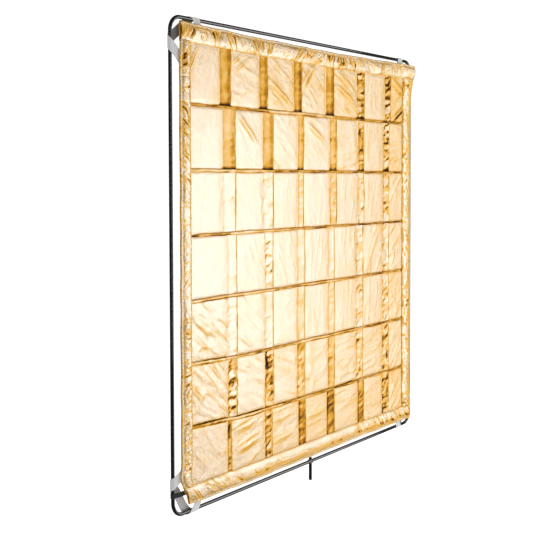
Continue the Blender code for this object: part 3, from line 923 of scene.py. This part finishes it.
def strap_back(on_level, on_upright):
    """The strap's free stretch behind the corner, as pairs of edge points."""
    start = Vector((0.0, on_upright[0]))
    end = Vector((on_level[0], 0.0))
    chord = (end - start).length
    leave = Vector((1, -on_upright[1])).normalized()
    arrive = Vector((on_level[1], -1)).normalized()
    pairs = []

    def mixed(a, b, c, d):
        return start * a + end * b + leave * (c * chord) + arrive * (d * chord)

    for t in np.linspace(0, 1, int(chord / STRAP_STEP))[1:-1]:
        # A Hermite curve and its heading.
        t2, t3 = t**2, t**3
        point = mixed(2 * t3 - 3 * t2 + 1, 3 * t2 - 2 * t3, t3 - 2 * t2 + t, t3 - t2)
        heading = mixed(6 * t2 - 6 * t, 6 * t - 6 * t2, 3 * t2 - 4 * t + 1, 3 * t2 - 2 * t).normalized()
        across = Vector((-heading.y, heading.x)) * STRAP_WIDTH / 2
        pairs.append((tuple(point - across), tuple(point + across)))
    return pairs


def fold_strap(side, level, a, b, proud):
    """Fold a point of the flat strap round whichever bar it has passed."""
    y = WRAP_R + proud
    if a < 0:
        a, y = wrap(-a, proud)
    elif b < 0:
        b, y = wrap(-b, proud)
    return (side * (HALF - a), y, CENTRE_Z + level * (HALF - b))


def corner_strap(corner):
    side, level, on_level, on_upright, behind = STRAPS[corner]
    upright_leg = strap_leg(on_upright, HALF - RIGHT)
    level_leg = strap_leg(on_level, (TOP_Z - TOP) if level > 0 else (BOTTOM - BOTTOM_Z))
    flat = [((-d, near), (-d, far)) for d, near, far in reversed(upright_leg)]
    flat += strap_back(on_level, on_upright)
    flat += [((near, -d), (far, -d)) for d, near, far in level_leg]
    first_back = len(upright_leg)
    last_back = len(flat) - len(level_leg)
    rows, tones = [], []
    for index, (near, far) in enumerate(flat):
        ring = []
        for share in np.linspace(0, 1, STRAP_COLUMNS):
            a = near[0] + (far[0] - near[0]) * share
            b = near[1] + (far[1] - near[1]) * share
            rib = 0.00012 * math.sin(2 * math.pi * share * (STRAP_COLUMNS - 1) / 2)
            round_off = 0.00025 * (1 - min(share / 0.05, (1 - share) / 0.05, 1)) ** 2
            ring.append(fold_strap(side, level, a, b, STRAP_T / 2 + rib - round_off))
        rows.append(ring)
        inside = step(first_back - 6, first_back + 3, index) * step(last_back + 6, last_back - 3, index)
        # Painted shade: the stretch behind the corner is darkened by the corner's last entry.
        tones.append([1 - (1 - behind) * float(inside)] * STRAP_COLUMNS)
    grid = np.array(rows)
    obj = sheet_mesh(f"elastic_strap_{corner}", *np.moveaxis(grid, -1, 0), np.array(tones))
    ribs = 0.5 + 0.5 * np.cos(np.arange(STRAP_COLUMNS) * math.pi)
    store(obj.data, "rib", crisp(np.tile(ribs, (len(flat), 1))))
    obj.data.flip_normals()
    thicken(obj, STRAP_T * 0.9, -1)
    obj.data.materials.append(ELASTIC)
    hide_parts("corner_strap_" + corner)

    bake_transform(obj)


# ---- Frame ----
def bar_path():
    """The bent bar's centreline from one side of the pin right round to the other."""
    points = [(-PIN_R * 0.55, BOTTOM_Z)]
    for side, level, first in ((-1, -1, 270), (-1, 1, 180), (1, 1, 90), (1, -1, 0)):
        x = side * (HALF - BEND_R)
        z = CENTRE_Z + level * (HALF - BEND_R)
        for turn in np.radians(np.linspace(first, first - 90, 17)):
            points.append((x + BEND_R * math.cos(turn), z + BEND_R * math.sin(turn)))
    points.append((PIN_R * 0.55, BOTTOM_Z))
    return points


def tube(name, path, radius, sides=32):
    """A round bar along a path in the XZ plane, with flat ends."""
    rows = []
    for i, (px, pz) in enumerate(path):
        ahead = path[min(i + 1, len(path) - 1)]
        behind = path[max(i - 1, 0)]
        run = Vector((ahead[0] - behind[0], ahead[1] - behind[1])).normalized()
        ring = []
        for turn in turns_of(sides):
            out = radius * math.cos(turn)
            ring.append((px - run.y * out, radius * math.sin(turn), pz + run.x * out))
        rows.append(ring)
    return rows_mesh(name, rows, closed=True)


def long_steps(path, longest=0.02):
    """Add points so that no stretch is longer than that."""
    fine = [path[0]]
    for a, b in zip(path, path[1:]):
        count = max(1, int(math.dist(a, b) / longest))
        for k in range(1, count + 1):
            fine.append((a[0] + (b[0] - a[0]) * k / count, a[1] + (b[1] - a[1]) * k / count))
    return fine


def lathe(name, outline, sides=40):
    """Turn (radius, height) pairs round the Z axis."""
    rows = [[(r * math.cos(t), r * math.sin(t), h) for t in turns_of(sides)] for r, h in outline]
    return rows_mesh(name, rows, closed=True)


def build_frame():
    bar = tube("frame_bar", long_steps(bar_path()), BAR_R)
    put(bar, ENAMEL, "frame")
    straight = ["bar_top", "bar_left", "bar_right", "bar_bottom_left", "bar_bottom_right"]
    bends = [f"bend_{end}_{word}" for end in ("top", "bottom") for word in ("left", "right")]
    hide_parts(*straight, *bends)


def build_pin():
    """A round pin: a centre mark and a rounded edge at its lower end, and a domed top."""
    edge = 0.0014
    outline = [(0.0001, 0.0003), (0.0009, 0.0003), (0.0016, 0.0)]
    for t in np.linspace(0, math.pi / 2, 7):
        outline.append((PIN_R - edge * (1 - math.sin(t)), edge * (1 - math.cos(t))))
    outline += [(PIN_R, h) for h in np.linspace(0.004, PIN_TOP - PIN_R - 0.001, 10)]
    for t in np.linspace(0, math.pi / 2, 12):
        outline.append((PIN_R * math.cos(t) + 0.00005, PIN_TOP - PIN_R * (1 - math.sin(t))))
    pin = lathe("pin_body", outline)
    put(pin, ENAMEL, "frame")
    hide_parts("mounting_pin")


def build_welds():
    """A rippled fillet round each of the bar's ends where it meets the pin."""
    for side, word in ((-1, "left"), (1, "right")):
        sides, steps = 72, 14
        rows = []
        for i in range(steps):
            t = i / (steps - 1)
            ring = []
            for turn in turns_of(sides):
                u, v = math.cos(turn), math.sin(turn)
                ripple = 1 + 0.10 * math.cos(turn * 14 + t * 3)
                proud = 0.0021 * math.sin(math.pi * (0.28 + 0.72 * t)) * ripple
                saddle = math.sqrt(max(PIN_R**2 - (u * BAR_R) ** 2, 0))
                reach = saddle * 0.85 + t * (PIN_R + 0.0055 - saddle * 0.85)
                r = BAR_R - 0.0001 + max(proud, 0)
                ring.append((side * reach, u * r, BOTTOM_Z + v * r))
            rows.append(ring)
        bead = rows_mesh("weld_bead_" + word, rows, closed=True)
        put(bead, WELD, "frame")
        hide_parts("weld_" + word)


def build_keeper():
    """Black webbing hooked over the left bar, its tail behind the hem."""
    low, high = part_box("keeper_tab")
    turns = np.radians(np.linspace(95, 300, 34))
    line = [(WRAP_R * math.cos(t), WRAP_R * math.sin(t)) for t in turns]
    reach = high.x + HALF
    start = line[-1]
    for share in np.linspace(0, 1, 26)[1:]:
        px = start[0] + (reach - start[0]) * share
        line.append((px, start[1] + (STRAP_HEM_Y - start[1]) * float(step(0.0, 0.3, share))))
    levels = np.linspace(low.z, high.z, 9)
    obj = rows_mesh("keeper_webbing", [[(-HALF + px, py, z) for z in levels] for px, py in line])
    ribs = 0.5 + 0.5 * np.cos(np.arange(len(line)) * math.pi)
    store(obj.data, "rib", crisp(np.repeat(ribs[:, None], len(levels), axis=1)))
    thicken(obj, STRAP_T, 0)
    put(obj, WEBBING, "frame")
    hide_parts("keeper_tab")


# ---- Stage ----
CAMERA_PLACE = (-2.4765, -1.6348, 0.8722)
CAMERA_TURN = (55.69, -2.40, -0.098)  # yaw from +Y towards +X, pitch and roll, in degrees
CAMERA_LENS = 69.62
CAMERA_SHIFT = (-0.0522, -0.0814)
FLOOR_HALF, FLOOR_Z = 30, -1.0


def build_camera():
    yaw, pitch, roll = (math.radians(angle) for angle in CAMERA_TURN)
    ahead = Vector((math.sin(yaw) * math.cos(pitch), math.cos(yaw) * math.cos(pitch), math.sin(pitch)))
    level = Vector((math.cos(yaw), -math.sin(yaw), 0))
    over = level.cross(ahead)
    right = level * math.cos(roll) + over * math.sin(roll)
    up = over * math.cos(roll) - level * math.sin(roll)
    data = bpy.data.cameras.new("camera")
    data.lens = CAMERA_LENS
    data.sensor_width = 36
    data.shift_x, data.shift_y = CAMERA_SHIFT
    camera = add_object("camera", data)
    turned = Matrix((right, up, -ahead)).transposed().to_4x4()
    camera.matrix_world = Matrix.Translation(CAMERA_PLACE) @ turned
    bpy.context.scene.camera = camera


def softbox(name, place, target, size, power, colour=(1, 1, 1)):
    data = bpy.data.lights.new(name, "AREA")
    data.shape = "RECTANGLE"
    data.size, data.size_y = size
    data.energy = power
    data.color = colour
    light = add_object(name, data)
    light.location = place
    light.rotation_mode = "QUATERNION"
    light.rotation_quaternion = (Vector(target) - Vector(place)).to_track_quat("-Z", "Y")


def build_stage():
    floor = bpy.data.meshes.new("floor")
    corners = [(x * FLOOR_HALF, y * FLOOR_HALF, FLOOR_Z) for x, y in ((-1, -1), (1, -1), (1, 1), (-1, 1))]
    floor.from_pydata(corners, [], [(0, 1, 2, 3)])
    paint = Nodes("pale_floor")
    mottle = paint.ramp(paint.noise(3, 2), ((0, grey(0.90)), (1, grey(0.94))))
    paint.drive("Base Color", mottle)
    paint.set(Roughness=0.9, Emission_Color=(1, 1, 1, 1), Emission_Strength=0.7)
    floor.materials.append(paint.material)
    obj = add_object("floor", floor)
    obj.visible_glossy = False
    centre = (0, 0, CENTRE_Z)
    softbox("key", (2.0, -2.1, 0.5), centre, (1.9, 2.9), 40)
    softbox("front", (-1.9, -3.1, 1.1), centre, (0.12, 2.6), 12, (1.0, 0.92, 0.78))
    softbox("rear", (0.6, 3.2, 2.2), centre, (2.4, 1.6), 12)
    build_world()


def build_world():
    """White to the camera, a pale room to matt surfaces and a dark one to glossy surfaces."""
    world = bpy.data.worlds.new("studio")
    bpy.context.scene.world = world
    world.use_nodes = True
    nodes, links = world.node_tree.nodes, world.node_tree.links
    nodes.clear()
    path = nodes.new("ShaderNodeLightPath")

    def background(level, strength=1.0):
        node = nodes.new("ShaderNodeBackground")
        node.inputs["Color"].default_value = (*grey(level), 1)
        node.inputs["Strength"].default_value = strength
        return node

    def choose(ray, otherwise, then):
        node = nodes.new("ShaderNodeMixShader")
        for socket, source in zip(node.inputs, (path.outputs[ray], otherwise.outputs[0], then.outputs[0])):
            links.new(source, socket)
        return node

    room = choose("Is Glossy Ray", background(0.55), background(0.06))
    seen = choose("Is Camera Ray", room, background(1, 1.1))
    links.new(seen.outputs[0], nodes.new("ShaderNodeOutputWorld").inputs["Surface"])
    bpy.context.scene.view_settings.view_transform = "Standard"


GOLD = gold_cloth("gold_lame_cloth")
TAPE = gold_cloth("gold_tape_cloth", 0.03)
ENAMEL = enamel()
WELD = weld_metal()
ELASTIC = woven("grey_elastic_weave", (0.08, 0.08, 0.085), (0.64, 0.64, 0.65), 0.25)
WEBBING = woven("black_webbing_weave", (0.003, 0.003, 0.003), (0.022, 0.022, 0.023), 0.02)
THREAD = thread("gold_thread", (0.80, 0.52, 0.16))

build_camera()
build_stage()
build_frame()
build_pin()
build_welds()
build_keeper()
for number in range(COLUMNS):
    upright_ribbon(number)
for number in range(ROWS):
    level_ribbon(number)
for number in range(ROWS - 1):
    row_tape(number)
hem("hem_top", TOP, SEAM_TOP, LEFT, RIGHT, upright=False)
hem("hem_bottom", BOTTOM, SEAM_BOTTOM, LEFT, RIGHT, upright=False)
hem("hem_left", LEFT, SEAM_LEFT, SEAM_BOTTOM - HEM_LAP, SEAM_TOP + HEM_LAP, upright=True)
hem("hem_right", RIGHT, SEAM_RIGHT, SEAM_BOTTOM - HEM_LAP, SEAM_TOP + HEM_LAP, upright=True)
for name in STRAPS:
    corner_strap(name)
